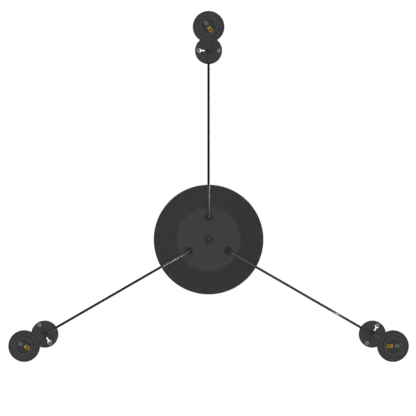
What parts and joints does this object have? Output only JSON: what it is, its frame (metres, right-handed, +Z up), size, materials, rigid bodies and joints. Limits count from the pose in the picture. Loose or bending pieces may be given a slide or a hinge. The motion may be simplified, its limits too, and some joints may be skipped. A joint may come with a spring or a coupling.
{
  "type": "pendant light",
  "caption": "Black pendant light: cables run from a round ceiling canopy to small ceiling anchors, and each drops to a bare screw lampholder with a shade ring.",
  "frame": {"origin": "centre of the strap's two ceiling slots, on the ceiling plane and the canopy's axis", "axes": "+Z up into the ceiling, +Y along the strap; the arms run out at 30, 150 and 270 degrees from +X"},
  "size_m": [0.7782, 0.6822, 1.049],
  "materials": {
    "black_steel": "matte black powder coat",
    "zinc_steel": "zinc plated",
    "black_plastic": "satin black",
    "grey_plastic": "dark grey, matte",
    "clear_plastic": "milky",
    "brass": "plain",
    "cable_sheath": "smooth black",
    "cable_cores": "smooth"
  },
  "bodies": {
    "ceiling_part": {"ceiling_canopy": "black_steel", "mounting_strap": "zinc_steel", "centre_stud": "zinc_steel", "stud_nut": "zinc_steel", "cap_nut": "black_steel", "terminal_block": "clear_plastic", "terminal_inserts": "brass", "terminal_screws": "zinc_steel", "strap_screws": "zinc_steel", "inner_leads": "cable_cores", "gland_nuts": "black_plastic", "gland_grub_screws": "zinc_steel", "anchor_screws": "zinc_steel", "holder_fixing_screws": "zinc_steel", "holder_grub_screws": "zinc_steel", "cable_gland_a": "black_plastic", "cable_gland_b": "black_plastic", "cable_gland_c": "black_plastic", "swag_cable_a": "cable_sheath", "swag_cable_b": "cable_sheath", "swag_cable_c": "cable_sheath", "anchor_plate_a": "black_steel", "anchor_plate_b": "black_steel", "anchor_plate_c": "black_steel", "cable_holder_a": "black_steel", "cable_holder_b": "black_steel", "cable_holder_c": "black_steel"},
    "drop_a": {"drop_cable_a": "cable_sheath"},
    "grip_a": {"cord_grip_a": "black_plastic", "cord_grip_screw_a": "zinc_steel"},
    "lampholder_a": {"lampholder_cap_a": "black_plastic", "lampholder_barrel_a": "black_plastic", "shade_ring_a": "black_plastic", "contact_block_a": "grey_plastic", "centre_contact_a": "brass", "side_contact_a": "brass", "contact_fixings_a": "brass", "head_leads_a": "cable_cores"},
    "drop_b": {"drop_cable_b": "cable_sheath"},
    "grip_b": {"cord_grip_b": "black_plastic", "cord_grip_screw_b": "zinc_steel"},
    "lampholder_b": {"lampholder_cap_b": "black_plastic", "lampholder_barrel_b": "black_plastic", "shade_ring_b": "black_plastic", "contact_block_b": "grey_plastic", "centre_contact_b": "brass", "side_contact_b": "brass", "contact_fixings_b": "brass", "head_leads_b": "cable_cores"},
    "drop_c": {"drop_cable_c": "cable_sheath"},
    "grip_c": {"cord_grip_c": "black_plastic", "cord_grip_screw_c": "zinc_steel"},
    "lampholder_c": {"lampholder_cap_c": "black_plastic", "lampholder_barrel_c": "black_plastic", "shade_ring_c": "black_plastic", "contact_block_c": "grey_plastic", "centre_contact_c": "brass", "side_contact_c": "brass", "contact_fixings_c": "brass", "head_leads_c": "cable_cores"}
  },
  "joints": [
    {"name": "swing_a", "type": "hinge", "parent": "ceiling_part", "child": "drop_a", "pos_m": [0.35827, 0.20685, -0.0223], "axis": [0.5, -0.866, 0], "range_deg": [-20, 30]},
    {"name": "tilt_a", "type": "hinge", "parent": "drop_a", "child": "grip_a", "pos_m": [0.35827, 0.20685, -0.9507], "axis": [0.866, 0.5, 0], "range_deg": [-20, 20]},
    {"name": "turn_a", "type": "hinge", "parent": "grip_a", "child": "lampholder_a", "pos_m": [0.35827, 0.20685, -1], "axis": [0, 0, 1], "range_deg": [-170, 170]},
    {"name": "swing_b", "type": "hinge", "parent": "ceiling_part", "child": "drop_b", "pos_m": [-0.35827, 0.20685, -0.0223], "axis": [0.5, 0.866, 0], "range_deg": [-20, 30]},
    {"name": "tilt_b", "type": "hinge", "parent": "drop_b", "child": "grip_b", "pos_m": [-0.35827, 0.20685, -0.9507], "axis": [-0.866, 0.5, 0], "range_deg": [-20, 20]},
    {"name": "turn_b", "type": "hinge", "parent": "grip_b", "child": "lampholder_b", "pos_m": [-0.35827, 0.20685, -1], "axis": [0, 0, 1], "range_deg": [-170, 170]},
    {"name": "swing_c", "type": "hinge", "parent": "ceiling_part", "child": "drop_c", "pos_m": [0, -0.4137, -0.0223], "axis": [-1, 0, 0], "range_deg": [-20, 30]},
    {"name": "tilt_c", "type": "hinge", "parent": "drop_c", "child": "grip_c", "pos_m": [0, -0.4137, -0.9507], "axis": [0, -1, 0], "range_deg": [-20, 20]},
    {"name": "turn_c", "type": "hinge", "parent": "grip_c", "child": "lampholder_c", "pos_m": [0, -0.4137, -1], "axis": [0, 0, 1], "range_deg": [-170, 170]}
  ]
}
